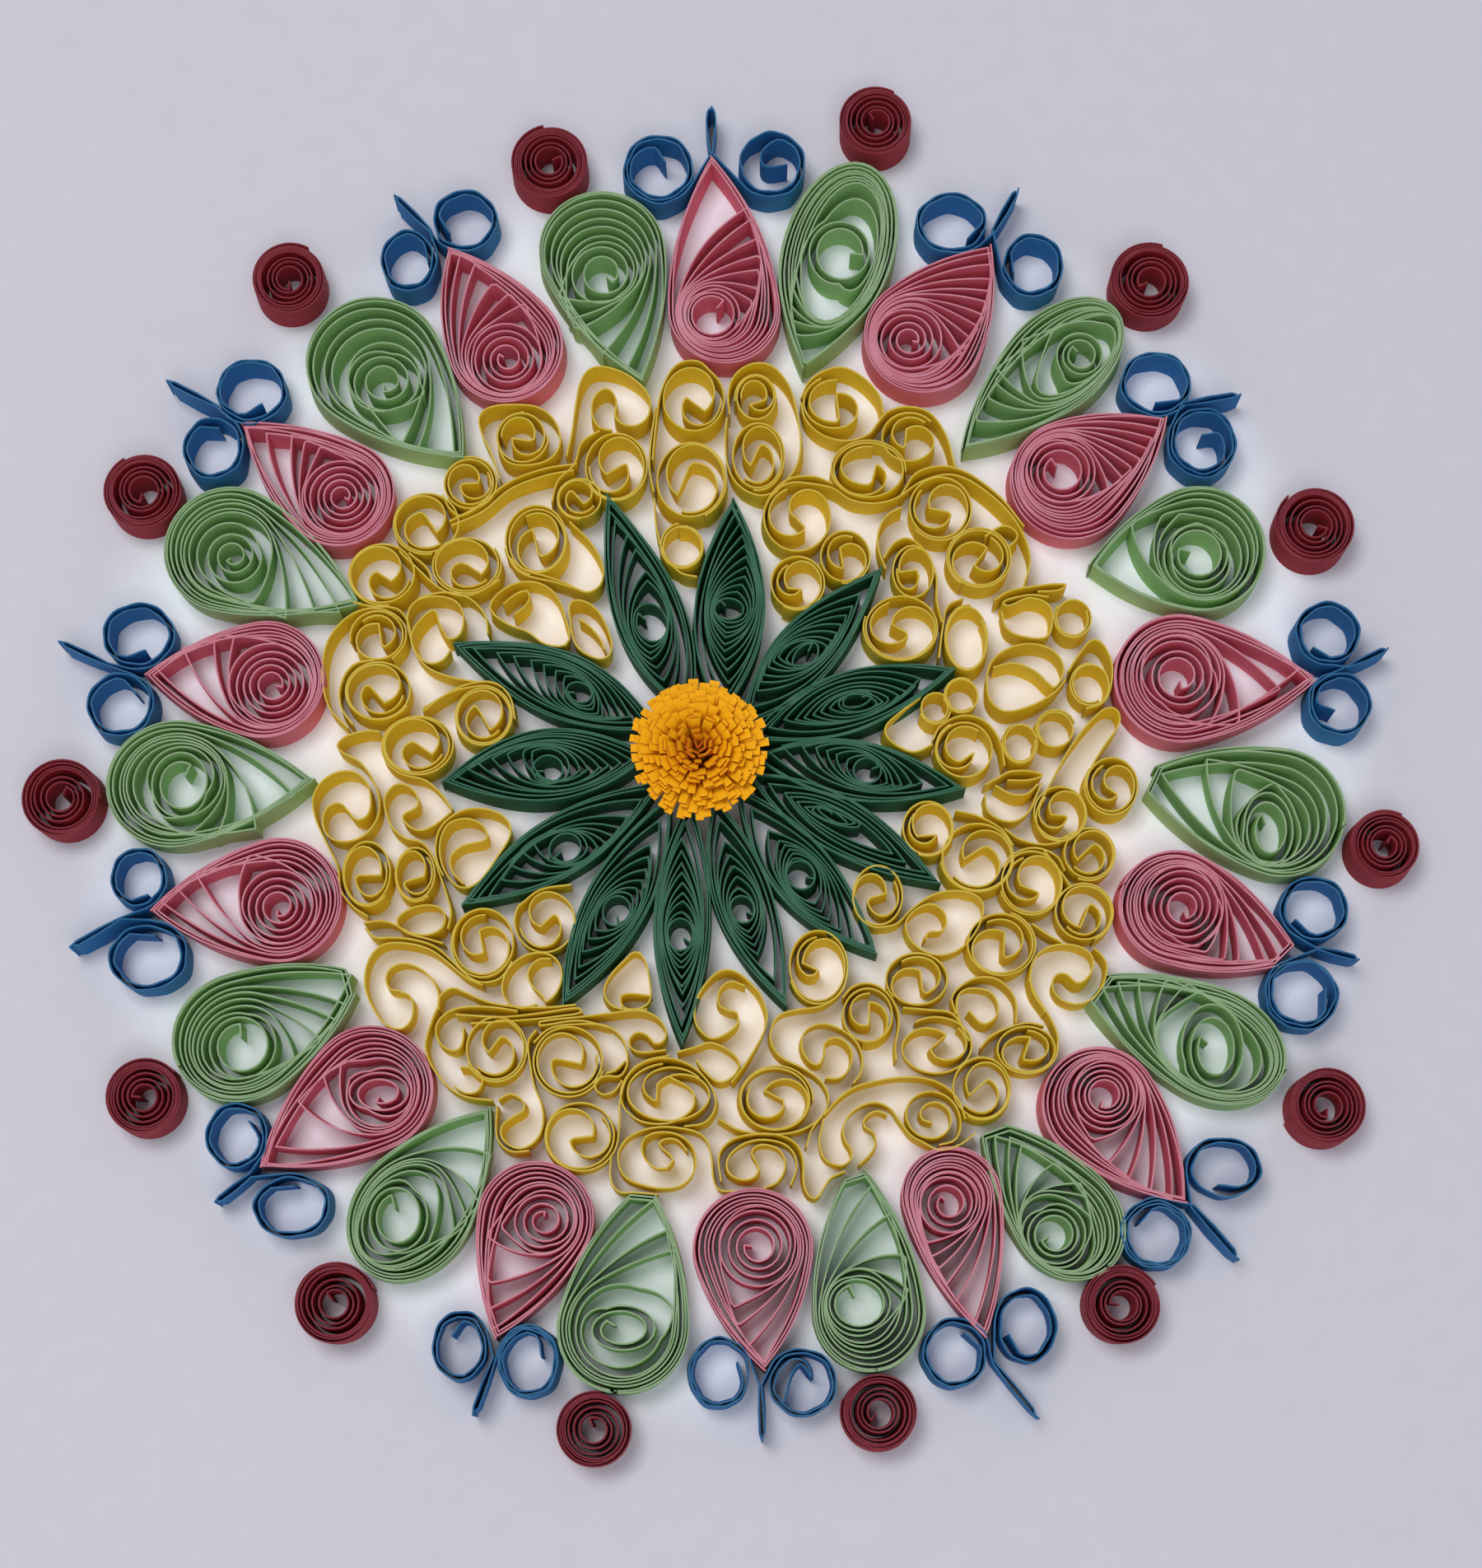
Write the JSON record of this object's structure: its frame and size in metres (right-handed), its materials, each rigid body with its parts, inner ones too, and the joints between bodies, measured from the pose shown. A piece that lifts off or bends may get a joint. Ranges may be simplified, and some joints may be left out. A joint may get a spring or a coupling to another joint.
{
  "type": "quilled paper art",
  "caption": "Quilled floral mandala: coloured paper strips rolled into coils, teardrops, petals and scrolls, stood on edge around a fringed flower on a square card.",
  "frame": {"origin": "middle of the card's underside, which is also the middle of the ring of coils", "axes": "+X to the right and +Y up the picture, +Z out of the card towards the viewer"},
  "size_m": [0.305, 0.305, 0.0148],
  "materials": {
    "card": "matt pale card",
    "orange_paper": "matt yellow-orange paper",
    "dark_green_paper": "matt dark-green paper",
    "pink_paper": "matt pink paper",
    "light_green_paper": "matt light-green paper",
    "maroon_paper": "matt maroon paper",
    "blue_paper": "matt blue paper",
    "yellow_paper": "matt golden-yellow paper"
  },
  "bodies": {
    "root": {"backing_card": "card", "blue_scrolls_bottom": "blue_paper", "blue_scrolls_left": "blue_paper", "blue_scrolls_right": "blue_paper", "blue_scrolls_top": "blue_paper", "dark_green_petal_01": "dark_green_paper", "dark_green_petal_02": "dark_green_paper", "dark_green_petal_03": "dark_green_paper", "dark_green_petal_04": "dark_green_paper", "dark_green_petal_05": "dark_green_paper", "dark_green_petal_06": "dark_green_paper", "dark_green_petal_07": "dark_green_paper", "dark_green_petal_08": "dark_green_paper", "dark_green_petal_09": "dark_green_paper", "dark_green_petal_10": "dark_green_paper", "dark_green_petal_11": "dark_green_paper", "dark_green_petal_12": "dark_green_paper", "dark_green_petal_13": "dark_green_paper", "fringed_flower": "orange_paper", "light_green_teardrop_01": "light_green_paper", "light_green_teardrop_02": "light_green_paper", "light_green_teardrop_03": "light_green_paper", "light_green_teardrop_04": "light_green_paper", "light_green_teardrop_05": "light_green_paper", "light_green_teardrop_06": "light_green_paper", "light_green_teardrop_07": "light_green_paper", "light_green_teardrop_08": "light_green_paper", "light_green_teardrop_09": "light_green_paper", "light_green_teardrop_10": "light_green_paper", "light_green_teardrop_11": "light_green_paper", "light_green_teardrop_12": "light_green_paper", "light_green_teardrop_13": "light_green_paper", "light_green_teardrop_14": "light_green_paper", "maroon_coils_left": "maroon_paper", "maroon_coils_lower_left": "maroon_paper", "maroon_coils_lower_right": "maroon_paper", "maroon_coils_top": "maroon_paper", "maroon_coils_upper_left": "maroon_paper", "maroon_coils_upper_right": "maroon_paper", "pink_teardrop_01": "pink_paper", "pink_teardrop_02": "pink_paper", "pink_teardrop_03": "pink_paper", "pink_teardrop_04": "pink_paper", "pink_teardrop_05": "pink_paper", "pink_teardrop_06": "pink_paper", "pink_teardrop_07": "pink_paper", "pink_teardrop_08": "pink_paper", "pink_teardrop_09": "pink_paper", "pink_teardrop_10": "pink_paper", "pink_teardrop_11": "pink_paper", "pink_teardrop_12": "pink_paper", "pink_teardrop_13": "pink_paper", "pink_teardrop_14": "pink_paper", "yellow_scrolls_left": "yellow_paper", "yellow_scrolls_lower_left": "yellow_paper", "yellow_scrolls_lower_right": "yellow_paper", "yellow_scrolls_right": "yellow_paper", "yellow_scrolls_top": "yellow_paper", "yellow_scrolls_upper_left": "yellow_paper", "yellow_scrolls_upper_right": "yellow_paper"}
  },
  "joints": []
}
